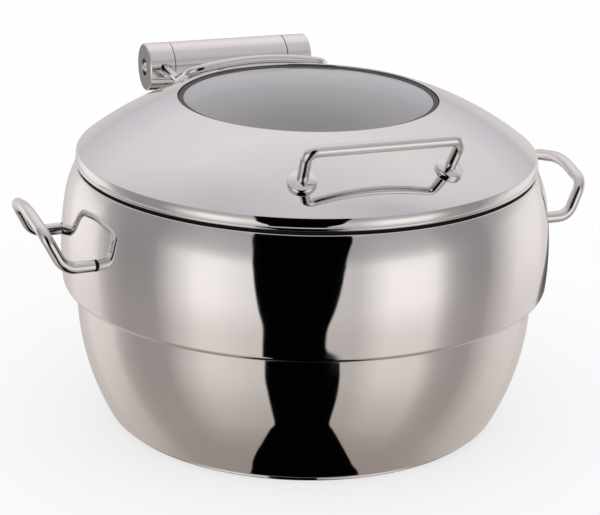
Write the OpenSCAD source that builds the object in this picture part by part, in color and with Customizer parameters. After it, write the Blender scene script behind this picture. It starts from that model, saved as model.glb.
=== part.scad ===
// Round stainless chafer with a domed, windowed lid on a damped rear barrel hinge.
// Units are millimetres. +Z is up, the lid handle is at the front (-Y) and the hinge at the rear (+Y).
// The origin is the centre of the flat underside of the base.

/* [Lower bowl] */
// Outer radius of the lower bowl at its straight upper wall
bowl_radius = 196.9; // [194.9:0.1:198.4]
// Height at which the bowl wall stops being straight and starts to curve in
bowl_shoulder_height = 110; // [106:1:114]
// Radius of the arc that the bowl wall follows down to the foot
bowl_arc_radius = 219.5; // [210:0.5:235]
// Radius of the small corner between bowl wall and bowl floor
bowl_corner_radius = 4; // [3:0.5:6]
// Outer radius of the foot ring
foot_radius = 165.4; // [160:0.2:166]
// Height of the foot ring
foot_height = 4; // [3:0.5:4.5]

/* [Upper ring] */
// Height of the step where the upper ring starts
step_height = 120.4; // [119:0.2:122]
// Largest outer radius of the upper ring
ring_radius = 210.2; // [209.5:0.1:210.6]
// Height at which the upper ring is widest
belly_height = 150; // [148:1:152]
// Radius of the arc that the upper ring's wall follows
belly_arc_radius = 270; // [255:5:290]
// Height at which the upper ring starts to curve in to its rim
ring_shoulder_height = 196; // [195:0.5:198]
// Height of the rim on top of the upper ring
rim_height = 222.7; // [222.7:0.1:223]
// Radius of the arc by which the upper ring curves in to its rim
ring_arc_radius = 82; // [79:1:86]
// Radius of the rounded lower edge of the upper ring
ring_corner = 5; // [4:0.1:5.5]
// Sheet thickness of the bowl, ring and lid shells
sheet = 1.2; // [1:0.1:1.3]

/* [Food pan] */
// Outer radius of the food pan wall
food_pan_radius = 182; // [180:0.5:183]
// Height of the underside of the food pan
food_pan_bottom = 125; // [120:1:150]
// Sheet thickness of the food pan
pan_sheet = 1; // [0.8:0.1:1.2]

/* [Lid] */
// Outer radius of the lid skirt
lid_radius = 196.6; // [196.2:0.1:197]
// Height of the lower edge of the lid skirt
skirt_bottom = 226.3; // [226.3:0.1:227]
// Radius of the arc that the lid dome follows
dome_radius = 271.5; // [270:0.5:273]
// Distance of that arc's centre from the lid's axis
dome_offset = 26.4; // [26:0.1:27]
// Height of the lid dome at the edge of the window
window_edge_height = 281; // [280.5:0.5:281.5]
// Radius of the shoulder between dome and skirt
shoulder_radius = 4; // [3.5:0.5:5]
// Angle by which the skirt leans in towards its lower edge
skirt_lean = 6; // [4:0.5:7]

/* [Window] */
// Radius of the opening in the lid
window_radius = 111.9; // [111:0.1:112.5]
// Radius of the clear part of the glass, inside the gasket lip
clear_radius = 105.8; // [104:0.2:107]
// Thickness of the window glass
glass_thickness = 4; // [3:0.5:4.5]
// Radius of the sphere that the top of the glass follows
glass_arc_radius = 1100; // [1000:50:1600]

/* [Handles] */
// Diameter of the side handle rod
side_rod = 10; // [9:0.5:11]
// Distance between the two feet of a side handle
side_handle_span = 100; // [96:1:104]
// Height of the feet of the side handles
side_handle_height = 167.2; // [166:0.2:170]
// How far the middle of the side handle grip stands out from the feet
side_handle_reach = 43; // [40:0.5:46]
// How far the middle of the side handle grip stands above the feet
side_handle_rise = 37.5; // [35:0.5:40]
// Angle by which the pair of side handles is turned from the line across the hinge
side_handle_turn = 1.4; // [0:0.1:2]
// Diameter of the lid handle rod
lid_rod = 9.5; // [8.5:0.5:10]
// Distance between the rosettes of the lid handle
lid_handle_span = 124.6; // [120:0.2:130]
// Distance of the lid handle feet in front of the lid's centre
lid_handle_forward = 155; // [152:1:157]
// Height of the lid handle bar above the dome, along its legs
lid_handle_height = 34.5; // [32:0.5:38]

/* [Hinge] */
// Distance of the hinge axis behind the lid's centre
hinge_back = 223.8; // [223:0.2:226]
// Height of the hinge axis
hinge_height = 256.1; // [255.5:0.1:257]
// Outer diameter of the hinge barrel
barrel_diameter = 44; // [43:0.5:45]
// Whole length of the hinge barrel
barrel_length = 158.5; // [156:0.5:161]
// Length of each end section that turns with the lid
end_section = 23.85; // [23:0.05:25]
// Diameter of the hinge shaft
shaft_diameter = 12; // [10:0.5:13]
// Diameter of the bent rod that joins the hinge to the lid
hinge_rod = 8; // [7:0.5:8.5]

/* [Hidden] */
$fn = 128;
eps = 0.01;
far = 400;
running_gap = 0.05;
rod_facets = 48;
// a rod's bends are this much thicker than its straight pieces, and overlap them by this length
bend_swell = 0.04;
bend_overlap = 0.4;

// bowl arc centre, and the corner between wall and floor
bowl_arc_x = bowl_radius - bowl_arc_radius;
corner_z = foot_height + bowl_corner_radius;
corner_x = bowl_arc_x + sqrt(pow(bowl_arc_radius - bowl_corner_radius, 2)
    - pow(bowl_shoulder_height - corner_z, 2));
bowl_lip_z = step_height + sheet + running_gap;
bowl_lip_radius = bowl_radius + 6;
foot_width = 6;
foot_edge = 1.4;
disc_radius = 125;

// upper ring
belly_arc_x = ring_radius - belly_arc_radius;
ring_arc_x = belly_arc_x + sqrt(pow(belly_arc_radius, 2) - pow(ring_shoulder_height - belly_height, 2))
    * (1 - ring_arc_radius / belly_arc_radius);
ring_arc_z = ring_shoulder_height
    - (ring_shoulder_height - belly_height) * ring_arc_radius / belly_arc_radius;
rim_corner = 1.6;
rim_inner_radius = 186;

// food pan and seal, both on the rim
pan_flange_radius = 188;
pan_corner = 15;
seal_inner = 190;
seal_outer = 194.6;
seal_height = 3.2;

// lid dome centre and shoulder centre
dome_z = window_edge_height - sqrt(pow(dome_radius, 2) - pow(window_radius - dome_offset, 2));
shoulder_x = lid_radius - shoulder_radius;
shoulder_z = dome_z
    + sqrt(pow(dome_radius - shoulder_radius, 2) - pow(shoulder_x - dome_offset, 2));
hem_radius = 1.3;
hem_x = shoulder_x + shoulder_radius / cos(skirt_lean)
    - (shoulder_z - skirt_bottom - hem_radius) * tan(skirt_lean) - sheet / 2;
collar_radius = 178;
collar_bottom = skirt_bottom + 0.4;

// window
glass_edge_radius = 109.3;
glass_edge_z = window_edge_height - 2.1;
gasket_outer = window_radius - sheet - 0.1;
gasket_bottom = glass_edge_z - glass_thickness - 3;
retainer_outer = 122;
retainer_inner = 104;
retainer_sheet = 1.5;
retainer_screw_circle = 118.5;
retainer_screws_count = 8;

// side handles
handle_foot_x = sqrt(pow(belly_arc_x + sqrt(pow(belly_arc_radius, 2)
    - pow(side_handle_height - belly_height, 2)), 2) - pow(side_handle_span / 2, 2));
side_bend = 16;
side_corner = 14;
side_crest = 80;
pad_radius = 11;
pad_sheet = 2;

// lid handle
lid_handle_lean = 30;
lid_handle_splay = 4;
lid_corner = 8;
rosette_radius = 12;
rosette_height = 3;

// hinge
barrel_radius = barrel_diameter / 2;
barrel_bore = 18;
spring_radius = 12;
seam = 0.3;
section_start = barrel_length / 2 - end_section;
section_end = barrel_length / 2;
shaft_radius = shaft_diameter / 2;
bush_length = 12;
recess_radius = 8;
recess_depth = 3;
port_x = section_end - 14.6;
port_radius = 5.5;
port_depth = 4;
port_z = hinge_height + 2.4;
rod_end_y = hinge_back - 8.5;
bar_front_y = 126;
bar_crest_z = 286;
bar_end_z = 275.1;
bar_bend_y = 161.5;
stud_x = 36;

// bracket
bracket_width = 76;
bracket_low = 142;
bracket_high = 178;
bracket_back = 214.5;
bracket_screw_x = 24;
bracket_screw_low = 150;
bracket_screw_high = 170;

steel = [0.82, 0.82, 0.83];
dark_steel = [0.45, 0.45, 0.47];
black_rubber = [0.08, 0.08, 0.08];
grey_rubber = [0.25, 0.25, 0.26];
bronze = [0.72, 0.55, 0.3];
clear_glass = [0.6, 0.65, 0.65, 0.35];

function unit(v) = v / norm(v);
function dome_height(r) = dome_z + sqrt(pow(dome_radius, 2) - pow(r - dome_offset, 2));

// One bend of a rod: arrives at corner along a, leaves along b, on the given centreline radius
module rod_bend(corner, a, b, bend, r) {
    turn = acos(a * b);
    across = unit(b - a * cos(turn));
    start = corner - a * bend * tan(turn / 2);
    centre = start + across * bend;
    side = cross(-across, a);
    multmatrix([[-across[0], a[0], side[0], centre[0]],
            [-across[1], a[1], side[1], centre[1]],
            [-across[2], a[2], side[2], centre[2]],
            [0, 0, 0, 1]])
        rotate_extrude(angle = turn)
            translate([bend, 0]) circle(r = r + bend_swell, $fn = rod_facets);
}

// A straight piece of rod between two points
module rod_straight(p, q, r) {
    d = q - p;
    flat = norm([d[0], d[1]]);
    translate(p)
        rotate([0, atan2(flat, d[2]), atan2(d[1], d[0])])
            cylinder(r = r, h = norm(d), $fn = rod_facets);
}

// A rod through several points with a rounded bend at each inner one
module rod_path(points, bends, r) {
    last = len(points) - 1;
    function way(i) = unit(points[i + 1] - points[i]);
    function trim(i) = (i == 0 || i == last) ? 0
        : bends[i - 1] * tan(acos(way(i - 1) * way(i)) / 2);
    union() {
        for (i = [0 : last - 1])
            rod_straight(points[i] + way(i) * (trim(i) - (i == 0 ? 0 : bend_overlap)),
                points[i + 1] - way(i) * (trim(i + 1) - (i + 1 == last ? 0 : bend_overlap)), r);
        for (i = [1 : last - 1])
            rod_bend(points[i], way(i - 1), way(i), bends[i - 1], r);
    }
}

module along_x() {
    rotate([0, 90, 0]) children();
}

module at_hinge() {
    translate([0, hinge_back, hinge_height]) children();
}

// Half section of the bowl's body, made smaller all round by inset
module bowl_section(inset, top) {
    spoke = unit([corner_x - bowl_arc_x, corner_z - bowl_shoulder_height]);
    intersection() {
        translate([bowl_arc_x, bowl_shoulder_height]) circle(r = bowl_arc_radius - inset, $fn = 360);
        polygon([[0, corner_z], [corner_x, corner_z],
            [corner_x + spoke[0] * far, corner_z + spoke[1] * far],
            [far * 2, bowl_shoulder_height], [0, bowl_shoulder_height]]);
    }
    translate([corner_x, corner_z]) circle(r = bowl_corner_radius - inset);
    translate([0, foot_height + inset])
        square([corner_x, bowl_corner_radius - inset + eps]);
    translate([0, bowl_shoulder_height - eps])
        square([bowl_radius - inset, top - bowl_shoulder_height + eps]);
}

module base_bowl() {
    color(steel) rotate_extrude() {
        difference() {
            bowl_section(0, bowl_lip_z + sheet);
            bowl_section(sheet, bowl_lip_z + sheet + 1);
        }
        translate([bowl_radius - sheet, bowl_lip_z])
            square([bowl_lip_radius - bowl_radius + sheet, sheet]);
    }
}

module foot_ring() {
    color(steel) rotate_extrude() {
        translate([foot_radius - foot_width, 0])
            square([foot_width - foot_edge, foot_height]);
        translate([foot_radius - foot_width, foot_edge])
            square([foot_width, foot_height - foot_edge]);
        translate([foot_radius - foot_edge, foot_edge]) circle(r = foot_edge, $fn = 40);
    }
}

module induction_disc() {
    color(dark_steel) cylinder(r = disc_radius, h = foot_height);
}

// Half section of the upper ring's body between low and high, made smaller all round by inset
module ring_section(inset, low, high) {
    low_z = step_height + ring_corner;
    low_x = belly_arc_x
        + sqrt(pow(belly_arc_radius - ring_corner, 2) - pow(belly_height - low_z, 2));
    high_z = rim_height - rim_corner;
    high_x = ring_arc_x + sqrt(pow(ring_arc_radius - rim_corner, 2) - pow(high_z - ring_arc_z, 2));
    low_end = low_z - ring_corner * (belly_height - low_z) / (belly_arc_radius - ring_corner);
    high_end = high_z + rim_corner * (high_z - ring_arc_z) / (ring_arc_radius - rim_corner);
    shoulder_far = [ring_arc_x, ring_arc_z]
        + unit([ring_arc_x - belly_arc_x, ring_arc_z - belly_height]) * far;
    translate([low_x, low_z]) circle(r = ring_corner - inset, $fn = 64);
    translate([0, low]) square([low_x, belly_height - low]);
    intersection() {
        translate([belly_arc_x, belly_height]) circle(r = belly_arc_radius - inset, $fn = 720);
        polygon([[0, low_end], [far, low_end], shoulder_far, [ring_arc_x, ring_arc_z], [0, ring_arc_z]]);
    }
    intersection() {
        translate([ring_arc_x, ring_arc_z]) circle(r = ring_arc_radius - inset, $fn = 360);
        polygon([[ring_arc_x, ring_arc_z], shoulder_far, [far, high_end], [ring_arc_x, high_end]]);
    }
    translate([0, ring_arc_z - eps]) square([high_x, high - ring_arc_z + eps]);
    translate([high_x, high_z]) circle(r = rim_corner - inset, $fn = 64);
}

// The space inside the upper ring's outer face, made larger all round by gap
module ring_body(gap) {
    rotate_extrude() ring_section(-gap, step_height - 1, rim_height);
}

// A band that follows the inside of the upper ring's wall at its widest part
module wall_band(thickness) {
    outer = belly_arc_radius - sheet - running_gap;
    rotate_extrude() intersection() {
        translate([belly_arc_x, belly_height]) difference() {
            circle(r = outer, $fn = 720);
            circle(r = outer - thickness, $fn = 720);
        }
        translate([ring_radius / 2, belly_height - 20]) square([far, 60]);
    }
}

module upper_ring() {
    color(steel) difference() {
        rotate_extrude() difference() {
            ring_section(0, step_height, rim_height);
            ring_section(sheet, step_height + sheet, rim_height - sheet);
            translate([0, step_height - 1])
                square([bowl_radius + running_gap, sheet + 2]);
            translate([0, rim_height - sheet - 1])
                square([rim_inner_radius, sheet + 2]);
        }
        bracket_screw_holes();
    }
}

module seal_ring() {
    color(black_rubber) rotate_extrude()
        translate([seal_inner, rim_height]) square([seal_outer - seal_inner, seal_height]);
}

// Half section of the food pan's body, made smaller all round by inset
module pan_section(inset) {
    corner_height = food_pan_bottom + pan_corner;
    translate([0, food_pan_bottom + inset]) square([food_pan_radius - pan_corner, pan_corner]);
    translate([food_pan_radius - pan_corner, corner_height]) circle(r = pan_corner - inset);
    translate([0, corner_height])
        square([food_pan_radius - inset, rim_height + pan_sheet + inset - corner_height]);
}

module food_pan() {
    color(steel) rotate_extrude() {
        difference() {
            pan_section(0);
            pan_section(pan_sheet);
        }
        translate([food_pan_radius - pan_sheet, rim_height])
            square([pan_flange_radius - food_pan_radius + pan_sheet, pan_sheet]);
    }
}

module side_handle() {
    foot = side_handle_span / 2;
    corner = foot - 5;
    root_x = handle_foot_x - 8;
    bend_x = handle_foot_x + side_handle_reach - 17.5;
    corner_x = handle_foot_x + side_handle_reach - 3;
    corner_z = side_handle_height + side_handle_rise - 9;
    difference() {
        rod_path([[root_x, -foot, side_handle_height], [bend_x, -foot, side_handle_height],
            [corner_x, -corner, corner_z],
            [handle_foot_x + side_handle_reach, 0, side_handle_height + side_handle_rise],
            [corner_x, corner, corner_z],
            [bend_x, foot, side_handle_height], [root_x, foot, side_handle_height]],
            [side_bend, side_corner, side_crest, side_corner, side_bend], side_rod / 2);
        ring_body(eps);
    }
}

module left_handle() {
    color(steel) rotate([0, 0, 180 + side_handle_turn]) side_handle();
}

module right_handle() {
    color(steel) rotate([0, 0, side_handle_turn]) side_handle();
}

// Discs bent to the inside of the upper ring behind each handle foot
module handle_backing_pads() {
    color(dark_steel) rotate([0, 0, side_handle_turn]) intersection() {
        for (side = [-1, 1])
            for (end = [-1, 1])
                translate([side * handle_foot_x - 12, end * side_handle_span / 2, side_handle_height])
                    along_x() cylinder(r = pad_radius, h = 24);
        wall_band(pad_sheet);
    }
}

module bracket_screw_holes() {
    for (x = [-bracket_screw_x, bracket_screw_x])
        for (z = [bracket_screw_low, bracket_screw_high])
            translate([x, 195, z]) rotate([-90, 0, 0]) cylinder(r = 2.6, h = 30, $fn = 32);
}

// Plate on the back of the upper ring that carries the hinge barrel on two ribs
module hinge_bracket() {
    rib = 5;
    color(steel) difference() {
        union() {
            translate([-bracket_width / 2, 200, bracket_low])
                cube([bracket_width, bracket_back - 200, bracket_high - bracket_low]);
            translate([-bracket_width / 2, ring_radius + 0.4, bracket_high - 10])
                cube([bracket_width, bracket_back - ring_radius - 0.4, 72]);
            for (x = [-bracket_width / 2, -rib / 2, bracket_width / 2 - rib])
                translate([x, 0, 0]) rotate([90, 0, 90]) linear_extrude(rib)
                    polygon([[bracket_back - eps, 182], [hinge_back + 12, 240],
                        [hinge_back + 12, 246], [bracket_back - eps, 246]]);
        }
        ring_body(running_gap);
        translate([-bracket_width, hinge_back, hinge_height])
            along_x() cylinder(r = barrel_radius + running_gap, h = bracket_width * 2);
        bracket_screw_holes();
    }
}

module bracket_screws() {
    color(dark_steel)
        for (x = [-bracket_screw_x, bracket_screw_x])
            for (z = [bracket_screw_low, bracket_screw_high])
                translate([x, bracket_back, z]) rotate([-90, 0, 0]) {
                    translate([0, 0, -14]) cylinder(r = 2.5, h = 14.1, $fn = 32);
                    difference() {
                        cylinder(r1 = 4.8, r2 = 3.6, h = 2.6, $fn = 32);
                        translate([0, 0, 1.2]) cylinder(r = 1.7, h = 2, $fn = 6);
                    }
                }
}

module bracket_backing_plate() {
    color(dark_steel) difference() {
        intersection() {
            translate([-34, 190, bracket_low + 2])
                cube([68, 30, bracket_high - bracket_low - 4]);
            wall_band(3);
        }
        bracket_screw_holes();
    }
}

module hinge_barrel() {
    half = section_start - seam;
    color(steel) at_hinge() translate([-half, 0, 0]) along_x() difference() {
        cylinder(r = barrel_radius, h = half * 2);
        translate([0, 0, -1]) cylinder(r = barrel_bore, h = half * 2 + 2);
    }
}

module bearing_bush() {
    along_x() difference() {
        cylinder(r = barrel_bore - 0.02, h = bush_length);
        translate([0, 0, -1]) cylinder(r = shaft_radius + running_gap, h = bush_length + 2);
    }
}

module bearing_bush_left() {
    color(bronze) at_hinge() translate([-section_start + seam + 0.5, 0, 0]) bearing_bush();
}

module bearing_bush_right() {
    color(bronze) at_hinge() translate([section_start - seam - 0.5 - bush_length, 0, 0])
        bearing_bush();
}

module damper_cartridge() {
    color(dark_steel) at_hinge() translate([-41, 0, 0]) along_x() difference() {
        union() {
            cylinder(r = barrel_bore - 0.1, h = 34);
            translate([0, 0, 34 - eps]) cylinder(r = 14, h = 8);
        }
        translate([0, 0, -1]) cylinder(r = shaft_radius + 0.1, h = 50);
    }
}

// Counterbalance coil of square wire round the shaft
module torsion_spring() {
    turns = 5;
    pitch = 6;
    wire = 3;
    color(dark_steel) at_hinge() translate([5, 0, 0]) along_x()
        linear_extrude(height = turns * pitch, twist = -360 * turns, slices = turns * 20,
                $fn = 12)
            intersection() {
                difference() {
                    circle(r = spring_radius + wire / 2, $fn = 12);
                    circle(r = spring_radius - wire / 2, $fn = 12);
                }
                translate([-far, 0]) square([far * 2, far]);
            }
}

// Half section of the lid's body, made smaller all round by inset
module lid_section(inset, low) {
    spoke = unit([shoulder_x - dome_offset, shoulder_z - dome_z]);
    skirt_x = shoulder_x + (shoulder_radius - inset) * cos(skirt_lean);
    skirt_z = shoulder_z - (shoulder_radius - inset) * sin(skirt_lean);
    intersection() {
        translate([dome_offset, dome_z]) circle(r = dome_radius - inset, $fn = 720);
        polygon([[0, low], [shoulder_x, low], [shoulder_x, shoulder_z],
            [shoulder_x + spoke[0] * far, shoulder_z + spoke[1] * far], [0, far * 2]]);
    }
    translate([shoulder_x, shoulder_z]) circle(r = shoulder_radius - inset);
    polygon([[0, low], [skirt_x - (skirt_z - low) * tan(skirt_lean), low],
        [skirt_x, skirt_z], [0, skirt_z]]);
}

module lid_shell() {
    color(steel) difference() {
        rotate_extrude() difference() {
            union() {
                difference() {
                    lid_section(0, skirt_bottom + hem_radius);
                    lid_section(sheet, skirt_bottom - 1);
                }
                translate([hem_x, skirt_bottom + hem_radius]) circle(r = hem_radius, $fn = 32);
                translate([window_radius - sheet, gasket_bottom + 0.4])
                    square([sheet, window_edge_height - gasket_bottom - 1.4]);
            }
            translate([-1, 0]) square([window_radius - sheet + 1, far]);
        }
        lid_handle_screw_holes();
        for (x = [-stud_x, stud_x])
            translate([x, bar_front_y, 262]) cylinder(r = 3.05, h = 30, $fn = 32);
    }
}

// Drip collar inside the lid that sends condensate back into the pan
module lid_collar() {
    color(steel) rotate_extrude() difference() {
        translate([collar_radius - sheet, collar_bottom]) square([sheet, 30]);
        difference() {
            translate([0, collar_bottom]) square([far, 60]);
            lid_section(sheet + 0.1, collar_bottom - 1);
        }
    }
}

module window_gasket() {
    color(grey_rubber) rotate_extrude() difference() {
        translate([clear_radius, gasket_bottom])
            square([gasket_outer - clear_radius, glass_edge_z + 0.4 - gasket_bottom]);
        translate([0, glass_edge_z - glass_thickness - 0.9])
            square([glass_edge_radius, glass_thickness + 0.75]);
    }
}

module window_glass() {
    crown = glass_edge_z - 0.2 - sqrt(pow(glass_arc_radius, 2) - pow(clear_radius, 2));
    color(clear_glass) rotate_extrude() intersection() {
        difference() {
            translate([0, crown]) circle(r = glass_arc_radius, $fn = 1440);
            translate([0, crown - glass_thickness])
                circle(r = glass_arc_radius, $fn = 1440);
        }
        translate([0, glass_edge_z - glass_thickness - 2])
            square([glass_edge_radius - 0.1, glass_thickness * 10]);
    }
}

// Ring under the lid that clamps the gasket and glass
module window_retainer() {
    ring_z = gasket_bottom - retainer_sheet - 0.1;
    color(steel) difference() {
        rotate_extrude() {
            translate([retainer_inner, ring_z])
                square([retainer_outer - retainer_inner, retainer_sheet]);
            translate([retainer_outer - retainer_sheet, ring_z - 5])
                square([retainer_sheet, 5 + eps]);
        }
        for (i = [0 : retainer_screws_count - 1])
            rotate([0, 0, 22.5 + i * 360 / retainer_screws_count])
                translate([retainer_screw_circle - 2, 0, ring_z - 1])
                    cylinder(r = 1.6, h = 4, $fn = 24);
    }
}

module retainer_screws() {
    ring_z = gasket_bottom - retainer_sheet - 0.1;
    color(dark_steel)
        for (i = [0 : retainer_screws_count - 1])
            rotate([0, 0, 22.5 + i * 360 / retainer_screws_count])
                translate([retainer_screw_circle - 2, 0, ring_z]) {
                    translate([0, 0, -2]) cylinder(r = 2.8, h = 2, $fn = 24);
                    translate([0, 0, -0.1]) cylinder(r = 1.5, h = 6, $fn = 24);
                }
}

function lid_foot(side) = [side * lid_handle_span / 2, -lid_handle_forward,
    dome_height(norm([lid_handle_span / 2, lid_handle_forward]))];
function lid_leg(side) = unit([side * sin(lid_handle_splay), -sin(lid_handle_lean),
    cos(lid_handle_lean)]);
function dome_normal(p) = let (out = 1 - dome_offset / norm([p[0], p[1]]))
    unit([p[0] * out, p[1] * out, p[2] - dome_z]);

// Turns a child that stands on +Z to stand along d at p
module stand_on(p, d) {
    translate(p)
        rotate([0, atan2(norm([d[0], d[1]]), d[2]), atan2(d[1], d[0])])
            children();
}

module lid_handle() {
    left = lid_foot(-1);
    right = lid_foot(1);
    color(steel) difference() {
        rod_path([left + lid_leg(-1) * 1.5, left + lid_leg(-1) * lid_handle_height,
            right + lid_leg(1) * lid_handle_height, right + lid_leg(1) * 1.5],
            [lid_corner, lid_corner], lid_rod / 2);
        for (side = [-1, 1]) {
            stand_on(lid_foot(side), dome_normal(lid_foot(side)))
                translate([0, 0, -5]) cylinder(r = rosette_radius + 2, h = 5 + rosette_height);
            stand_on(lid_foot(side), lid_leg(side)) cylinder(r = 2.55, h = 16, $fn = 32);
        }
    }
}

module handle_rosette(side) {
    foot = lid_foot(side);
    difference() {
        stand_on(foot, dome_normal(foot)) {
            cylinder(r = rosette_radius, h = rosette_height - 1.2);
            translate([0, 0, rosette_height - 1.2 - eps])
                cylinder(r1 = rosette_radius, r2 = rosette_radius - 2.2, h = 1.2);
        }
        rotate_extrude() intersection() {
            translate([dome_offset, dome_z]) circle(r = dome_radius + running_gap, $fn = 720);
            square([far, far]);
        }
        stand_on(foot - lid_leg(side) * 5, lid_leg(side)) cylinder(r = 2.6, h = 20, $fn = 32);
    }
}

module handle_rosette_left() {
    color(steel) handle_rosette(-1);
}

module handle_rosette_right() {
    color(steel) handle_rosette(1);
}

module lid_handle_screw_holes() {
    for (side = [-1, 1])
        stand_on(lid_foot(side) - lid_leg(side) * 8, lid_leg(side))
            cylinder(r = 2.6, h = 20, $fn = 32);
}

module handle_screws() {
    color(dark_steel)
        for (side = [-1, 1])
            stand_on(lid_foot(side) - lid_leg(side) * 5, lid_leg(side)) {
                cylinder(r = 2.5, h = 20, $fn = 32);
                translate([0, 0, -3]) cylinder(r = 4.5, h = 3.1, $fn = 32);
            }
}

module hinge_bar_rod(r) {
    rod_path([[-port_x, rod_end_y, port_z], [-port_x, bar_bend_y, port_z],
        [-port_x, bar_front_y, bar_end_z], [0, bar_front_y, bar_crest_z],
        [port_x, bar_front_y, bar_end_z], [port_x, bar_bend_y, port_z],
        [port_x, rod_end_y, port_z]],
        [18, 14, 290, 14, 18], r);
}

module hinge_bar() {
    color(steel) hinge_bar_rod(hinge_rod / 2);
}

// Threaded studs under the cross part of the hinge rod, through the lid
module hinge_bar_studs() {
    color(dark_steel) difference() {
        for (x = [-stud_x, stud_x])
            translate([x, bar_front_y, 262]) cylinder(r = 3, h = 17, $fn = 32);
        hinge_bar_rod(hinge_rod / 2 + 0.02);
    }
}

module hinge_bar_nuts() {
    nut_top = dome_height(norm([stud_x, bar_front_y])) - 5.2;
    color(dark_steel)
        for (x = [-stud_x, stud_x])
            translate([x, bar_front_y, nut_top - 5]) difference() {
                cylinder(r = 5.5, h = 5, $fn = 6);
                translate([0, 0, -1]) cylinder(r = 3.05, h = 7, $fn = 32);
            }
}

// End section on the +X side: bored for the shaft, screw, rod and grub screw
module hinge_end() {
    length = end_section - seam;
    chamfer = 1;
    at_hinge() difference() {
        translate([section_start + seam, 0, 0]) along_x() {
            cylinder(r = barrel_radius, h = length - chamfer);
            translate([0, 0, length - chamfer - eps])
                cylinder(r1 = barrel_radius, r2 = barrel_radius - chamfer, h = chamfer);
        }
        translate([section_start - 1, 0, 0]) along_x()
            cylinder(r = shaft_radius + running_gap, h = end_section - recess_depth - 2.25);
        translate([section_start, 0, 0]) along_x()
            cylinder(r = 3.1, h = end_section + 1, $fn = 32);
        translate([section_end - recess_depth, 0, 0]) along_x()
            cylinder(r = recess_radius, h = recess_depth + 1);
        translate([port_x, -barrel_radius - 1, port_z - hinge_height]) rotate([-90, 0, 0]) {
            cylinder(r = port_radius, h = port_depth + 1, $fn = 64);
            cylinder(r = hinge_rod / 2 + running_gap, h = barrel_radius - 7.5, $fn = rod_facets);
        }
        translate([port_x, rod_end_y - hinge_back - 4, -barrel_radius - 1])
            cylinder(r = 2.05, h = barrel_radius, $fn = 24);
    }
}

module hinge_end_left() {
    color(steel) mirror([1, 0, 0]) hinge_end();
}

module hinge_end_right() {
    color(steel) hinge_end();
}

module hinge_shaft() {
    half = section_end - recess_depth - 3.6;
    color(dark_steel) at_hinge() translate([-half, 0, 0]) along_x() difference() {
        cylinder(r = shaft_radius, h = half * 2);
        for (z = [-1, half * 2 - 12]) translate([0, 0, z]) cylinder(r = 3.02, h = 13, $fn = 32);
    }
}

module end_screws() {
    color(dark_steel) at_hinge()
        for (side = [0, 1]) mirror([side, 0, 0])
            translate([section_end - recess_depth, 0, 0]) along_x() difference() {
                union() {
                    translate([0, 0, -13]) cylinder(r = 3, h = 13.1, $fn = 32);
                    cylinder(r1 = 5.2, r2 = 4, h = 2.4, $fn = 48);
                }
                translate([0, 0, 0.9]) cylinder(r = 2, h = 2, $fn = 6);
            }
}

module grub_screws() {
    color(dark_steel)
        for (side = [-1, 1])
            translate([side * port_x, rod_end_y - 4, port_z - hinge_rod / 2 - 0.05 - 7])
                cylinder(r = 2, h = 7, $fn = 24);
}

base_bowl();
foot_ring();
induction_disc();
upper_ring();
seal_ring();
food_pan();
left_handle();
right_handle();
handle_backing_pads();
hinge_bracket();
bracket_screws();
bracket_backing_plate();
hinge_barrel();
bearing_bush_left();
bearing_bush_right();
damper_cartridge();
torsion_spring();
lid_shell();
lid_collar();
window_gasket();
window_glass();
window_retainer();
retainer_screws();
lid_handle();
handle_rosette_left();
handle_rosette_right();
handle_screws();
hinge_bar();
hinge_bar_studs();
hinge_bar_nuts();
hinge_end_left();
hinge_end_right();
hinge_shaft();
end_screws();
grub_screws();
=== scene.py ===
import math

import bpy
import numpy as np
from mathutils import Matrix, Vector


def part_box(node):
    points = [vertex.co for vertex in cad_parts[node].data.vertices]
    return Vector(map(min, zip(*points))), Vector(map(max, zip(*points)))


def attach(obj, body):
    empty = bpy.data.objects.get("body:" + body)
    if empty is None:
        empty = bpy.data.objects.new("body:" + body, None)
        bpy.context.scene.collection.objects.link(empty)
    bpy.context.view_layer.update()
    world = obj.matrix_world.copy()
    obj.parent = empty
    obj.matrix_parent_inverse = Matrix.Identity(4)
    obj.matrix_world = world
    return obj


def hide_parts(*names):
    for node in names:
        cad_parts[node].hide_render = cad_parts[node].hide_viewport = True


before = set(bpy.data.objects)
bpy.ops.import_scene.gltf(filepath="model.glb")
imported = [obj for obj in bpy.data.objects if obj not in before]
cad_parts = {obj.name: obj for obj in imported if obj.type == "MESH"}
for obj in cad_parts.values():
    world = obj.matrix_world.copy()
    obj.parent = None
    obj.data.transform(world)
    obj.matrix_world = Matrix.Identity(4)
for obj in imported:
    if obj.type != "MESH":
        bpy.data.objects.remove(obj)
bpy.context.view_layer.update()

MM = 0.001
SEGMENTS = 384


def node_box(name):
    """Lowest and highest corner of a CAD node in millimetres."""
    low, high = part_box(name)
    return [v / MM for v in low], [v / MM for v in high]


# ---------------------------------------------------------------- sizes, in millimetres, from the frame
ring_low, ring_high = node_box("upper_ring")
_, bowl_high = node_box("base_bowl")
_, foot_high = node_box("foot_ring")
lid_low, _ = node_box("lid_shell")
pan_low, pan_high = node_box("food_pan")
seal_low, seal_high = node_box("seal_ring")
gasket_low, gasket_high = node_box("window_gasket")
_, glass_high = node_box("window_glass")
barrel_low, barrel_high = node_box("hinge_barrel")
grip_low, _ = node_box("right_handle")
rod_low, rod_high = node_box("hinge_bar")

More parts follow.
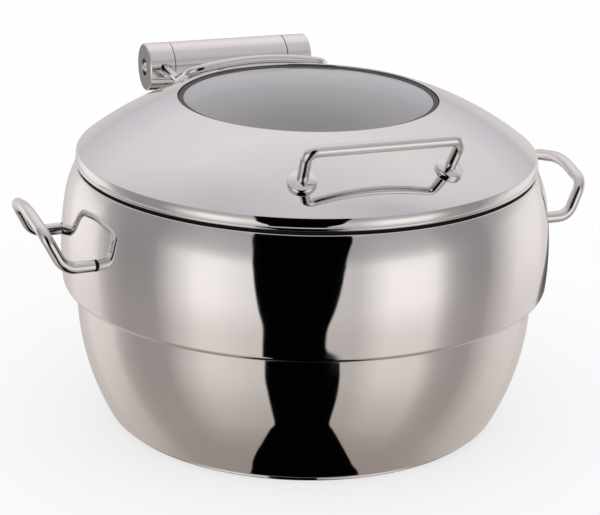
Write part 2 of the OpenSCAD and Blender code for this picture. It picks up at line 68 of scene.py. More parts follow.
SHEET = 1.2
PAN_SHEET = 1.0
RIM_Z = ring_high[2]
STEP_Z = ring_low[2]
BELLY_R = 210.2
BELLY_Z = 150.0
BELLY_ARC = 270.0
RING_SHOULDER_Z = 196.0
RING_ARC = 82.0
RING_CORNER = 5.0
RIM_CORNER = 1.6
RIM_INNER_R = 186.0
BOWL_R = bowl_high[0] - 6.0
BOWL_SHOULDER_Z = 110.0
BOWL_ARC = 219.5
BOWL_CORNER = 4.0
FOOT_Z = foot_high[2]
FOOT_R = foot_high[0]
FOOT_EDGE = 1.4
LID_R = 196.6
HEM_Z = lid_low[2]
HEM_R = 1.7
HEM_DROP = 1.0
SHOULDER_R = 4.0
SKIRT_LEAN = math.radians(6.0)
DOME_R = 271.5
DOME_X = 26.4
WINDOW_R = 111.9
WINDOW_Z = 281.0
DOME_Z = WINDOW_Z - math.sqrt(DOME_R ** 2 - (WINDOW_R - DOME_X) ** 2)
SHOULDER_X = LID_R - SHOULDER_R
SHOULDER_Z = DOME_Z + math.sqrt((DOME_R - SHOULDER_R) ** 2 - (SHOULDER_X - DOME_X) ** 2)
CLEAR_R = 105.8
HINGE_Y = (barrel_low[1] + barrel_high[1]) / 2
HINGE_Z = (barrel_low[2] + barrel_high[2]) / 2
BARREL_R = (barrel_high[2] - barrel_low[2]) / 2


# ---------------------------------------------------------------- profiles
def arc(cx, cz, radius, start, end, step=1.6, side=1, shade=None):
    """Points of an arc with their normals. side is 1 where the body is inside the circle, -1 outside.
    shade may give the normal's angle for the angle of a point."""
    count = max(4, int(abs(end - start) * radius / step) + 1, int(abs(end - start) / 0.16) + 1)
    points = []
    for a in np.linspace(start, end, count + 1):
        facing = shade(a) if shade else a
        points.append((cx + radius * math.cos(a), cz + radius * math.sin(a),
                       side * math.cos(facing), side * math.sin(facing)))
    return points


def revolve(name, runs, place=None, segments=SEGMENTS):
    """One closed mesh from the runs of a section, in millimetres, turned about Z, with exact normals."""
    angles = np.linspace(0, 2 * math.pi, segments, endpoint=False)
    cos, sin = np.cos(angles), np.sin(angles)
    rings, verts, total = [], [], 0

    def ring_for(x, z):
        nonlocal total
        for known in (rings[-1:] + rings[:1]):
            if abs(known[0] - x) < 1e-5 and abs(known[1] - z) < 1e-5:
                return known
        if x < 1e-6:
            verts.append(np.array([[0, 0, z]]))
            rings.append((x, z, total, 1))
        else:
            verts.append(np.stack([x * cos, x * sin, np.full(segments, z)], 1))
            rings.append((x, z, total, segments))
        total += rings[-1][3]
        return rings[-1]

    faces, normals = [], []
    k = np.arange(segments)
    k2 = (k + 1) % segments
    for run in runs:
        previous = None
        for x, z, nx, nz in run:
            ring = ring_for(x, z)
            if previous is not None and ring[2] != previous[0][2]:
                (px, pz, start, count), (pnx, pnz) = previous
                near = start + (k if count > 1 else 0 * k)
                near2 = start + (k2 if count > 1 else 0 * k)
                away = ring[2] + (k if ring[3] > 1 else 0 * k)
                away2 = ring[2] + (k2 if ring[3] > 1 else 0 * k)
                n_near = np.stack([pnx * cos, pnx * sin, np.full(segments, pnz)], 1)
                n_away = np.stack([nx * cos, nx * sin, np.full(segments, nz)], 1)
                corners = [(near, n_near), (near2, n_near[k2]), (away2, n_away[k2]), (away, n_away)]
                if count == 1:
                    corners = [corners[0], corners[2], corners[3]]
                elif ring[3] == 1:
                    corners = [corners[0], corners[1], corners[3]]
                if (z - pz) * (nx + pnx) - (x - px) * (nz + pnz) < 0:
                    corners.reverse()
                faces += np.stack([c[0] for c in corners], 1).tolist()
                normals.append(np.stack([c[1] for c in corners], 1).reshape(-1, 3))
            previous = (ring, (nx, nz))
    points = np.concatenate(verts) * MM
    return finish_mesh(name, points, faces, np.concatenate(normals), place)


def finish_mesh(name, points, faces, normals, place=None):
    """A new object from points in metres, faces and one normal for each face corner."""
    if place is not None:
        turn = np.array(place.to_3x3())
        points = points @ turn.T + np.array(place.translation)
        normals = normals @ turn.T
    mesh = bpy.data.meshes.new(name)
    mesh.from_pydata(points.tolist(), [], faces)
    mesh.shade_smooth()
    lengths = np.linalg.norm(normals, axis=1, keepdims=True)
    mesh.normals_split_custom_set((normals / np.maximum(lengths, 1e-12)).tolist())
    mesh.update()
    made = bpy.data.objects.new(name, mesh)
    bpy.context.scene.collection.objects.link(made)
    return made


def centreline(points, bends, bend_steps=28):
    """Points of a rod's centreline with a rounded bend at each inner point."""
    points = [Vector(p) for p in points]
    line_points = [points[0]]
    for i in range(1, len(points) - 1):
        into = (points[i] - points[i - 1]).normalized()
        out = (points[i + 1] - points[i]).normalized()
        turn = into.angle(out)
        start = points[i] - into * bends[i - 1] * math.tan(turn / 2)
        across = (out - into * into.dot(out)).normalized()
        centre = start + across * bends[i - 1]
        for j in range(bend_steps + 1):
            a = turn * j / bend_steps
            ahead = into * bends[i - 1] * math.sin(a)
            line_points.append(centre - across * bends[i - 1] * math.cos(a) + ahead)
    line_points.append(points[-1])
    return line_points


def rod(name, points, bends, radius, sides=48, edge=0.5, seam_shade=0.0):
    """A round rod along its centreline, in millimetres, with slightly rounded ends. The last argument is the
    length of
    each end that takes the second material: a thin dark ring, partly the joint and partly painted shade where
    the rod meets the sheet."""
    path = centreline(points, bends)
    if seam_shade:
        path.insert(1, path[0] + (path[1] - path[0]).normalized() * seam_shade)
        path.insert(-1, path[-1] + (path[-2] - path[-1]).normalized() * seam_shade)
    ways = []
    for i in range(len(path)):
        before = path[max(i - 1, 0)]
        after = path[min(i + 1, len(path) - 1)]
        ways.append((after - before).normalized())
    ways[0] = (path[1] - path[0]).normalized()
    ways[-1] = (path[-1] - path[-2]).normalized()
    side = ways[0].orthogonal().normalized()
    angles = np.linspace(0, 2 * math.pi, sides, endpoint=False)
    rings = []
    for i, (at, way) in enumerate(zip(path, ways)):
        if i:
            side = ways[i - 1].rotation_difference(way) @ side
        side = (side - way * side.dot(way)).normalized()
        other = way.cross(side)
        spokes = np.cos(angles)[:, None] * np.array(side) + np.sin(angles)[:, None] * np.array(other)
        rings.append((np.array(at), spokes, np.array(way)))
    loops = []
    first, last = rings[0], rings[-1]
    for a in np.linspace(math.pi / 2, 0, 4)[:-1]:
        loops.append((first[0] + first[2] * edge * (1 - math.sin(a)),
                      first[1] * (radius - edge + edge * math.cos(a)),
                      first[1] * math.cos(a) - first[2] * math.sin(a)))
    loops.append((first[0] + first[2] * edge, first[1] * radius, first[1]))
    loops += [(at, spokes * radius, spokes) for at, spokes, way in rings[1:-1]]
    loops.append((last[0] - last[2] * edge, last[1] * radius, last[1]))
    for a in np.linspace(0, math.pi / 2, 4)[1:]:
        loops.append((last[0] - last[2] * edge * (1 - math.sin(a)),
                      last[1] * (radius - edge + edge * math.cos(a)),
                      last[1] * math.cos(a) + last[2] * math.sin(a)))
    points_out = np.concatenate([at + spokes for at, spokes, n in loops])
    vertex_normals = np.concatenate([n for at, spokes, n in loops])
    k = np.arange(sides)
    k2 = (k + 1) % sides
    faces = []
    for i in range(len(loops) - 1):
        a, b = i * sides, (i + 1) * sides
        faces += np.stack([a + k, a + k2, b + k2, b + k], 1).tolist()
    corner_normals = [vertex_normals[np.array(faces).reshape(-1)]]
    end = (len(loops) - 1) * sides
    faces += [list(reversed(range(sides))), [end + i for i in range(sides)]]
    corner_normals += [np.tile(-first[2], (sides, 1)), np.tile(last[2], (sides, 1))]
    made = finish_mesh(name, points_out * MM, faces, np.concatenate(corner_normals))
    if seam_shade:
        ends = 5 * sides
        marks = np.zeros(len(faces), dtype=np.int32)
        marks[:ends - sides] = 1
        marks[len(faces) - 2 - ends + sides:] = 1
        made.data.polygons.foreach_set("material_index", marks)
    return made


# ---------------------------------------------------------------- materials
def shader(name):
    """A new material with its Principled shader."""
    made = bpy.data.materials.new(name)
    made.use_nodes = True
    return made, made.node_tree, made.node_tree.nodes["Principled BSDF"]


def put(tree, kind, links=None, **values):
    """A node, its settings, and what feeds it: links is {input: output socket or value}."""
    node = tree.nodes.new(kind)
    for key, value in values.items():
        setattr(node, key, value)
    for key, value in (links or {}).items():
        if isinstance(value, bpy.types.NodeSocket):
            tree.links.new(value, node.inputs[key])
        else:
            node.inputs[key].default_value = value
    return node


def noise(tree, scale, detail=3.0, rough=0.5, stretch=None):
    """Noise in object space. Its coordinates may be stretched."""
    where = put(tree, "ShaderNodeTexCoord").outputs["Object"]
    if stretch:
        where = put(tree, "ShaderNodeMapping", {"Vector": where, "Scale": stretch}).outputs["Vector"]
    return put(tree, "ShaderNodeTexNoise",
               {"Vector": where, "Scale": scale, "Detail": detail, "Roughness": rough}).outputs["Fac"]


def ramp(tree, fac, stops):
    """A colour ramp from (place, colour) stops."""
    node = put(tree, "ShaderNodeValToRGB", {"Fac": fac})
    elements = node.color_ramp.elements
    while len(elements) < len(stops):
        elements.new(0.5)
    for element, (place, colour) in zip(elements, stops):
        element.position = place
        element.color = (*colour, 1) if len(colour) == 3 else colour
    return node.outputs["Color"]


def spread(tree, fac, low, high, from_low=0.3, from_high=0.7):
    """Maps a noise value to a range."""
    return put(tree, "ShaderNodeMapRange", {"Value": fac, "From Min": from_low, "From Max": from_high,
                                            "To Min": low, "To Max": high}).outputs["Result"]


def bump(tree, height, strength, distance):
    return put(tree, "ShaderNodeBump",
               {"Height": height, "Strength": strength, "Distance": distance}).outputs["Normal"]


def steel(name, colour, rough_low, rough_high, wave, grain=None):
    """Polished or brushed steel: slight colour drift, polish marks, and a faint waviness of the sheet."""
    made, tree, body = shader(name)
    drift = noise(tree, 9.0, 2.0)
    dark = tuple(c * 0.975 for c in colour)
    tree.links.new(ramp(tree, drift, [(0.3, dark), (0.7, colour)]), body.inputs["Base Color"])
    body.inputs["Metallic"].default_value = 1.0
    marks = noise(tree, 38.0, 6.0, 0.62)
    tree.links.new(spread(tree, marks, rough_low, rough_high), body.inputs["Roughness"])
    if grain:
        lines = noise(tree, 60.0, 4.0, 0.6, grain)
        tree.links.new(bump(tree, lines, 0.25, 0.0003), body.inputs["Normal"])
    else:
        tree.links.new(bump(tree, noise(tree, 11.0, 1.0), wave, 0.002), body.inputs["Normal"])
    return made


STEEL = (0.80, 0.795, 0.785)
mirror_steel = steel("mirror_steel", STEEL, 0.03, 0.055, 0.02)
rod_steel = steel("rod_steel", (0.80, 0.785, 0.775), 0.12, 0.17, 0.02)
barrel_steel = steel("barrel_steel", (0.89, 0.865, 0.865), 0.10, 0.14, 0.01)

# The drum ends: turned like the barrel round their side, with a painted shade on their flat faces: a
# near-black base colour.
cap_steel = steel("cap_steel", (0.89, 0.865, 0.865), 0.10, 0.14, 0.01)
cap_tree = cap_steel.node_tree
cap_body = cap_tree.nodes["Principled BSDF"]
cap_facing = put(cap_tree, "ShaderNodeSeparateXYZ",
                 {0: put(cap_tree, "ShaderNodeTexCoord").outputs["Normal"]})
cap_shade_faces = put(cap_tree, "ShaderNodeMath", {0: cap_facing.outputs["X"]}, operation="ABSOLUTE")
cap_side = cap_body.inputs["Base Color"].links[0].from_socket
# painted shade: the flat end faces take a near-black base colour in place of the steel's
cap_painted_shade = put(cap_tree, "ShaderNodeMix", {0: spread(cap_tree, cap_shade_faces.outputs[0], 0, 1, 0.7, 0.9),
                                          6: cap_side, 7: (0.10, 0.091, 0.088, 1)}, data_type="RGBA")
cap_tree.links.new(cap_painted_shade.outputs[2], cap_body.inputs["Base Color"])
satin_steel = steel("satin_steel", (0.70, 0.70, 0.70), 0.24, 0.34, 0.02)
pan_steel = steel("pan_steel", (0.80, 0.80, 0.79), 0.16, 0.23, 0.008)
brushed_steel = steel("induction_steel", (0.42, 0.42, 0.43), 0.38, 0.5, 0.02, (1.0, 14.0, 1.0))
dark_steel = steel("dark_steel", (0.30, 0.30, 0.31), 0.3, 0.42, 0.02)


def rubber(name, colour, rough):
    """Moulded rubber with a fine skin and a little dust."""
    made, tree, body = shader(name)
    dust = noise(tree, 60.0, 5.0, 0.6)
    light = tuple(c * 1.35 + 0.002 for c in colour)
    tree.links.new(ramp(tree, dust, [(0.35, colour), (0.75, light)]), body.inputs["Base Color"])
    tree.links.new(spread(tree, dust, rough, rough + 0.15), body.inputs["Roughness"])
    tree.links.new(bump(tree, noise(tree, 900.0, 2.0), 0.15, 0.0002), body.inputs["Normal"])
    body.inputs["Specular IOR Level"].default_value = 0.2
    return made


black_seal = rubber("black_seal", (0.003, 0.003, 0.003), 0.6)
grey_gasket = rubber("grey_gasket", (0.05, 0.05, 0.052), 0.4)

bronze, bronze_tree, bronze_body = shader("bronze")
bronze_drift = noise(bronze_tree, 70.0, 4.0)
bronze_tree.links.new(ramp(bronze_tree, bronze_drift, [(0.3, (0.45, 0.27, 0.11)), (0.7, (0.58, 0.38, 0.17))]),
                      bronze_body.inputs["Base Color"])
bronze_body.inputs["Metallic"].default_value = 1.0
bronze_tree.links.new(spread(bronze_tree, bronze_drift, 0.25, 0.4), bronze_body.inputs["Roughness"])

damper, damper_tree, damper_body = shader("damper_body")
damper_drift = noise(damper_tree, 50.0, 4.0)
damper_black, damper_grey = (0.012, 0.012, 0.013), (0.03, 0.03, 0.032)
damper_tree.links.new(ramp(damper_tree, damper_drift, [(0.3, damper_black), (0.7, damper_grey)]),
                      damper_body.inputs["Base Color"])
damper_tree.links.new(spread(damper_tree, damper_drift, 0.35, 0.5), damper_body.inputs["Roughness"])

glass, glass_tree, glass_body = shader("window_glass")
glass_body.inputs["Transmission Weight"].default_value = 0.6
glass_body.inputs["IOR"].default_value = 1.47
glass_drift = noise(glass_tree, 14.0, 3.0)
# Painted reflection: the pane's base colour runs from dark near this point to pale away from it, standing in
# for a soft light reflected in the domed pane.
PAINTED_REFLECTION_FROM = (-0.032, -0.084, 0.28)  # the pane gets paler with the distance from this point, in metres
PAINTED_REFLECTION_REACH = 0.2
reflection_distance = put(glass_tree, "ShaderNodeVectorMath",
                  {0: put(glass_tree, "ShaderNodeTexCoord").outputs["Object"], 1: PAINTED_REFLECTION_FROM},
                  operation="DISTANCE")
reflection_share = put(glass_tree, "ShaderNodeMath",
               {0: reflection_distance.outputs["Value"], 1: PAINTED_REFLECTION_REACH}, operation="DIVIDE")
painted_reflection = put(glass_tree, "ShaderNodeMath",
           {0: reflection_share.outputs[0], 1: spread(glass_tree, glass_drift, -0.02, 0.02)}, operation="ADD")
# painted reflection: these tones stand in for the light the pane reflects
glass_tree.links.new(ramp(glass_tree, painted_reflection.outputs[0], [
    (0.0, (0.105, 0.115, 0.105)), (0.2, (0.17, 0.18, 0.17)), (0.32, (0.25, 0.26, 0.25)),
    (0.45, (0.34, 0.35, 0.345)), (0.565, (0.41, 0.42, 0.425)), (0.61, (0.50, 0.51, 0.525)),
    (0.70, (0.58, 0.59, 0.61)), (0.80, (0.76, 0.77, 0.80))]),
    glass_body.inputs["Base Color"])
glass_tree.links.new(spread(glass_tree, glass_drift, 0.30, 0.36), glass_body.inputs["Roughness"])
glass_body.inputs["Coat Weight"].default_value = 1.0
glass_body.inputs["Coat Roughness"].default_value = 0.01


def dress(piece, body, material, slot, *nodes):
    """Gives a piece its body, its finish and the CAD nodes it stands for."""
    piece.data.materials.append(material)
    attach(piece, body)
    if nodes:
        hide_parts(*nodes)
    return piece


# ---------------------------------------------------------------- bowl
# Shading only: here, on the belly's lower half and on the lid's edge the normals are bent away from the
# surface so that the reflections fall as in the photograph. The shape itself does not follow them.
DRAW_IN = math.radians(2.8)


def drawn_in(a):
    """The direction the upper wall is shaded with: bent down by up to DRAW_IN from its arc."""
    return -math.hypot(a, DRAW_IN)


def bowl_side(inset):
    """The bowl's side from floor to lip, from the centre out, made smaller by inset."""
    arc_x = BOWL_R - BOWL_ARC
    corner_z = FOOT_Z + BOWL_CORNER
    corner_x = arc_x + math.sqrt((BOWL_ARC - BOWL_CORNER) ** 2 - (BOWL_SHOULDER_Z - corner_z) ** 2)
    tangent = math.atan2(corner_z - BOWL_SHOULDER_Z, corner_x - arc_x)
    side = -1 if inset else 1
    floor = FOOT_Z + inset
    return [
        [(0, floor, 0, -side), (corner_x, floor, 0, -side)],
        arc(corner_x, corner_z, BOWL_CORNER - inset, -math.pi / 2, tangent, 0.4, side),
        arc(arc_x, BOWL_SHOULDER_Z, BOWL_ARC - inset, tangent, 0, 1.6, side, drawn_in),
    ]


def reverse(runs):
    return [list(reversed(run)) for run in reversed(runs)]


lip_top = bowl_high[2]
lip_z = lip_top - SHEET
lip_r = bowl_high[0]
bowl = revolve("bowl_shell", bowl_side(0) + [
    [(BOWL_R, BOWL_SHOULDER_Z, math.cos(DRAW_IN), -math.sin(DRAW_IN)),
     (BOWL_R, lip_z, math.cos(DRAW_IN), -math.sin(DRAW_IN))],
    [(BOWL_R, lip_z, 0, -1), (lip_r, lip_z, 0, -1)],
    [(lip_r, lip_z, 1, 0), (lip_r, lip_top, 1, 0)],
    [(lip_r, lip_top, 0, 1), (BOWL_R - SHEET, lip_top, 0, 1)],
    [(BOWL_R - SHEET, lip_top, -1, 0), (BOWL_R - SHEET, BOWL_SHOULDER_Z, -1, 0)],
] + reverse(bowl_side(SHEET)))
dress(bowl, "base", mirror_steel, "mirror_steel", "base_bowl")

foot_in = FOOT_R - 6.0
foot = revolve("foot_band", [
    [(foot_in, 0, 0, -1), (FOOT_R - FOOT_EDGE, 0, 0, -1)],
    arc(FOOT_R - FOOT_EDGE, FOOT_EDGE, FOOT_EDGE, -math.pi / 2, 0, 0.3),
    [(FOOT_R, FOOT_EDGE, 1, 0), (FOOT_R, FOOT_Z, 1, 0)],
    [(FOOT_R, FOOT_Z, 0, 1), (foot_in, FOOT_Z, 0, 1)],
    [(foot_in, FOOT_Z, -1, 0), (foot_in, 0, -1, 0)],
])
dress(foot, "base", mirror_steel, "mirror_steel", "foot_ring")


# ---------------------------------------------------------------- upper ring
LOW_BELLY = 0.5  # shading only: the lower half is shaded flatter than its arc, by up to this share


def ring_side(inset):
    """The ring's side from its lower edge to its rim, made smaller by inset."""
    side = -1 if inset else 1
    belly_x = BELLY_R - BELLY_ARC
    low_z = STEP_Z + RING_CORNER
    low_x = belly_x + math.sqrt((BELLY_ARC - RING_CORNER) ** 2 - (BELLY_Z - low_z) ** 2)
    low_turn = math.atan2(low_z - BELLY_Z, low_x - belly_x)
    rise = RING_SHOULDER_Z - BELLY_Z
    shoulder_turn = math.asin(rise / BELLY_ARC)
    arc_x = belly_x + (BELLY_ARC - RING_ARC) * math.cos(shoulder_turn)
    arc_z = BELLY_Z + (BELLY_ARC - RING_ARC) * math.sin(shoulder_turn)
    high_z = RIM_Z - RIM_CORNER
    high_x = arc_x + math.sqrt((RING_ARC - RIM_CORNER) ** 2 - (high_z - arc_z) ** 2)
    high_turn = math.atan2(high_z - arc_z, high_x - arc_x)
    return [
        [(BOWL_R + 0.05, STEP_Z + inset, 0, -side), (low_x, STEP_Z + inset, 0, -side)],
        arc(low_x, low_z, RING_CORNER - inset, -math.pi / 2, low_turn, 0.3, side),
        arc(belly_x, BELLY_Z, BELLY_ARC - inset, low_turn, 0, 2.0, side,
            lambda a: a * (1 - LOW_BELLY * a / low_turn)),
        arc(belly_x, BELLY_Z, BELLY_ARC - inset, 0, shoulder_turn, 2.0, side),
        arc(arc_x, arc_z, RING_ARC - inset, shoulder_turn, high_turn, 1.0, side),
        arc(high_x, high_z, RIM_CORNER - inset, high_turn, math.pi / 2, 0.2, side),
        [(high_x, RIM_Z - inset, 0, side), (RIM_INNER_R, RIM_Z - inset, 0, side)],
    ]


ring_edge = BOWL_R + 0.05
ring = revolve("ring_shell", ring_side(0) + [
    [(RIM_INNER_R, RIM_Z, -1, 0), (RIM_INNER_R, RIM_Z - SHEET, -1, 0)],
] + reverse(ring_side(SHEET)) + [
    [(ring_edge, STEP_Z + SHEET, -1, 0), (ring_edge, STEP_Z, -1, 0)],
])
dress(ring, "base", mirror_steel, "mirror_steel", "upper_ring")

seal_mid = (seal_high[0] + 190.0) / 2
seal_half = (seal_high[0] - 190.0) / 2
seal_dome = seal_high[2] - seal_half
seal = revolve("seal_lip", [
    [(190.0, seal_low[2], 0, -1), (seal_high[0], seal_low[2], 0, -1)],
    [(seal_high[0], seal_low[2], 1, 0), (seal_high[0], seal_dome, 1, 0)],
    arc(seal_mid, seal_dome, seal_half, 0, math.pi, 0.4),
    [(190.0, seal_dome, -1, 0), (190.0, seal_low[2], -1, 0)],
])
dress(seal, "base", black_seal, "black_seal", "seal_ring")

# ---------------------------------------------------------------- food pan
PAN_R = 182.0
PAN_CORNER = 15.0
pan_z = pan_low[2]
flange_z = pan_high[2]
flange_r = pan_high[0]


def pan_side(inset):
    side = -1 if inset else 1
    return [
        [(0, pan_z + inset, 0, -side), (PAN_R - PAN_CORNER, pan_z + inset, 0, -side)],
        arc(PAN_R - PAN_CORNER, pan_z + PAN_CORNER, PAN_CORNER - inset, -math.pi / 2, 0, 1.2, side),
    ]


PAN_BEND = 2.0
pan = revolve("pan_shell", pan_side(0) + [
    [(PAN_R, pan_z + PAN_CORNER, 1, 0), (PAN_R, flange_z - PAN_SHEET, 1, 0)],
    [(PAN_R, flange_z - PAN_SHEET, 0, -1), (flange_r - 0.5, flange_z - PAN_SHEET, 0, -1)],
    arc(flange_r - 0.5, flange_z - 0.5, 0.5, -math.pi / 2, math.pi / 2, 0.2),
    [(flange_r - 0.5, flange_z, 0, 1), (PAN_R - PAN_SHEET + PAN_BEND, flange_z, 0, 1)],
    arc(PAN_R - PAN_SHEET + PAN_BEND, flange_z - PAN_BEND, PAN_BEND, math.pi / 2, math.pi, 0.3),
    [(PAN_R - PAN_SHEET, flange_z - PAN_BEND, -1, 0), (PAN_R - PAN_SHEET, pan_z + PAN_CORNER, -1, 0)],
] + reverse(pan_side(PAN_SHEET)))
dress(pan, "base", pan_steel, "satin_steel", "food_pan")

# ---------------------------------------------------------------- lid
dome_turn = math.atan2(SHOULDER_Z - DOME_Z, SHOULDER_X - DOME_X)
window_wall = WINDOW_R - SHEET
EDGE_ROUND = 1.0


def skirt_x(z, inset):
    """Radius of the skirt's face at a height."""
    tangent_x = SHOULDER_X + (SHOULDER_R - inset) * math.cos(SKIRT_LEAN)
    tangent_z = SHOULDER_Z - (SHOULDER_R - inset) * math.sin(SKIRT_LEAN)
    return tangent_x - (tangent_z - z) * math.tan(SKIRT_LEAN)


def dome_point(r, inset=0.0):
    return DOME_Z + math.sqrt((DOME_R - inset) ** 2 - (r - DOME_X) ** 2)


hem_z = HEM_Z - HEM_DROP + HEM_R
hem_x = skirt_x(hem_z, 0) - SHEET / 2
hem_gap = math.asin(SHEET / 2 / HEM_R)
hem_out = math.pi / 2 - hem_gap - SKIRT_LEAN
hem_in = math.pi / 2 + hem_gap - SKIRT_LEAN
bead_top = (hem_x + HEM_R * math.cos(hem_out), hem_z + HEM_R * math.sin(hem_out))
bead_back = (hem_x + HEM_R * math.cos(hem_in), hem_z + HEM_R * math.sin(hem_in))
skirt_n = (math.cos(SKIRT_LEAN), -math.sin(SKIRT_LEAN))
edge_r = window_wall + EDGE_ROUND
edge_cz = DOME_Z + math.sqrt((DOME_R - EDGE_ROUND) ** 2 - (edge_r - DOME_X) ** 2)
edge_turn = math.atan2(edge_cz - DOME_Z, edge_r - DOME_X)
flange_bottom = gasket_low[2] + 0.4
skirt_top = (SHOULDER_X + SHOULDER_R * math.cos(SKIRT_LEAN), SHOULDER_Z - SHOULDER_R * math.sin(SKIRT_LEAN))
inner_r = SHOULDER_R - SHEET
inner_top = (SHOULDER_X + inner_r * math.cos(SKIRT_LEAN), SHOULDER_Z - inner_r * math.sin(SKIRT_LEAN))
flange_meets = math.acos((WINDOW_R - DOME_X) / (DOME_R - SHEET))
CREASE = math.radians(27.0)  # shading only: the slope that the edge is shaded with just below the dome
CREASE_SHARE = 0.1
skirt_length = math.dist(bead_top, skirt_top)
edge_length = skirt_length + SHOULDER_R * (dome_turn + SKIRT_LEAN)


def edge_slope(along):
    """The slope the edge is shaded with, at a distance up from the hem. It is not the surface's own."""
    share = along / edge_length
    if share < 1 - CREASE_SHARE:
        return -SKIRT_LEAN + (CREASE + SKIRT_LEAN) * share / (1 - CREASE_SHARE)
    return CREASE + (dome_turn - CREASE) * (share - 1 + CREASE_SHARE) / CREASE_SHARE


skirt_run = []
for share in np.linspace(0, 1, 13):
    slope = edge_slope(share * skirt_length)
    skirt_run.append((bead_top[0] + (skirt_top[0] - bead_top[0]) * share,
                      bead_top[1] + (skirt_top[1] - bead_top[1]) * share, math.cos(slope), math.sin(slope)))
lid = revolve("lid_dome", [
    arc(hem_x, hem_z, HEM_R, hem_in - 2 * math.pi, hem_out, 0.2),
    skirt_run,
    arc(SHOULDER_X, SHOULDER_Z, SHOULDER_R, -SKIRT_LEAN, dome_turn, 0.15, 1,
        lambda a: edge_slope(skirt_length + SHOULDER_R * (a + SKIRT_LEAN))),
    arc(DOME_X, DOME_Z, DOME_R, dome_turn, edge_turn, 1.2),
    arc(edge_r, edge_cz, EDGE_ROUND, edge_turn, math.pi, 0.15),
    [(window_wall, edge_cz, -1, 0), (window_wall, flange_bottom, -1, 0)],
    [(window_wall, flange_bottom, 0, -1), (WINDOW_R, flange_bottom, 0, -1)],
    [(WINDOW_R, flange_bottom, 1, 0), (WINDOW_R, dome_point(WINDOW_R, SHEET), 1, 0)],
    arc(DOME_X, DOME_Z, DOME_R - SHEET, flange_meets, dome_turn, 1.6, -1),
    arc(SHOULDER_X, SHOULDER_Z, inner_r, dome_turn, -SKIRT_LEAN, 0.4, -1),
    [(*inner_top, -skirt_n[0], -skirt_n[1]), (*bead_back, -skirt_n[0], -skirt_n[1])],
], segments=512)
dress(lid, "lid", mirror_steel, "mirror_steel", "lid_shell")

# ---------------------------------------------------------------- window
GASKET_OUT = window_wall - 0.1
gasket_top = gasket_high[2]
lip_round = 0.5
gasket = revolve("window_gasket_ring", [
    [(CLEAR_R, gasket_low[2], 0, -1), (GASKET_OUT, gasket_low[2], 0, -1)],
    [(GASKET_OUT, gasket_low[2], 1, 0), (GASKET_OUT, gasket_top - 1.2, 1, 0)],
    arc(GASKET_OUT - 1.2, gasket_top - 1.2, 1.2, 0, math.pi / 2, 0.2),
    [(GASKET_OUT - 1.2, gasket_top, 0, 1), (CLEAR_R + lip_round, gasket_top, 0, 1)],
    arc(CLEAR_R + lip_round, gasket_top - lip_round, lip_round, math.pi / 2, math.pi, 0.15),
    [(CLEAR_R, gasket_top - lip_round, -1, 0), (CLEAR_R, gasket_low[2], -1, 0)],
])
dress(gasket, "lid", grey_gasket, "grey_gasket", "window_gasket")

GLASS_ARC = 1100.0
GLASS_T = 4.0
glass_r = glass_high[0]
glass_top_z = glass_high[2] - GLASS_ARC
grind = 0.6


def glass_turn(r):
    return math.acos(r / GLASS_ARC)


rim_top = glass_top_z + GLASS_ARC * math.sin(glass_turn(glass_r - grind))
pane = revolve("window_pane", [
    list(reversed(arc(0, glass_top_z - GLASS_T, GLASS_ARC, glass_turn(glass_r - grind), math.pi / 2,
                      6.0, -1))),
    [(glass_r - grind, rim_top - GLASS_T, 0.7, -0.7), (glass_r, rim_top - GLASS_T + grind, 0.7, -0.7)],
    [(glass_r, rim_top - GLASS_T + grind, 1, 0), (glass_r, rim_top - grind, 1, 0)],
    [(glass_r, rim_top - grind, 0.7, 0.7), (glass_r - grind, rim_top, 0.7, 0.7)],
    arc(0, glass_top_z, GLASS_ARC, glass_turn(glass_r - grind), math.pi / 2, 6.0),
], segments=256)
dress(pane, "lid", glass, "window_glass", "window_glass")

# ---------------------------------------------------------------- side handles
ROD = 10.0
HANDLE_Z = grip_low[2] + ROD / 2
HANDLE_SPAN = 100.0
HANDLE_REACH = 43.0
HANDLE_RISE = 37.5
HANDLE_TURN = math.radians(1.4)
# length of the dark ring at each foot: partly the joint, partly painted shade where the rod meets the wall
FOOT_SEAM_SHADE = 3.1
FOOT_SUNK = 2.5         # the rod starts this far inside the wall
LEG_SHORT = 17.5        # the straight leg ends this far inside the grip's reach
BEND_IN, BEND_UP, BEND_ALONG = 3, 9, 5   # the upper bend, back from the grip's top
GRIP_BENDS = (16.0, 14.0, 80.0, 14.0, 16.0)
foot_y = HANDLE_SPAN / 2
wall_r = BELLY_R - BELLY_ARC + math.sqrt(BELLY_ARC ** 2 - (HANDLE_Z - BELLY_Z) ** 2)
foot_x = math.sqrt(wall_r ** 2 - foot_y ** 2)
grip_x, grip_z = foot_x + HANDLE_REACH, HANDLE_Z + HANDLE_RISE
grip_points = [
    (foot_x - FOOT_SUNK, -foot_y, HANDLE_Z), (grip_x - LEG_SHORT, -foot_y, HANDLE_Z),
    (grip_x - BEND_IN, -foot_y + BEND_ALONG, grip_z - BEND_UP),
    (grip_x, 0, grip_z),
    (grip_x - BEND_IN, foot_y - BEND_ALONG, grip_z - BEND_UP),
    (grip_x - LEG_SHORT, foot_y, HANDLE_Z), (foot_x - FOOT_SUNK, foot_y, HANDLE_Z)]
for name, angle, node in (("grip_right", 0, "right_handle"), ("grip_left", math.pi, "left_handle")):
    spin = Matrix.Rotation(angle + HANDLE_TURN, 3, "Z")
    grip = rod(name, [spin @ Vector(p) for p in grip_points], GRIP_BENDS, ROD / 2, seam_shade=FOOT_SEAM_SHADE)
    dress(grip, "base", rod_steel, "mirror_steel", node)
    # The second material, black, paints the dark ring at each foot: partly the joint, partly painted shade
    # where the rod meets the wall.
    grip.data.materials.append(black_seal)

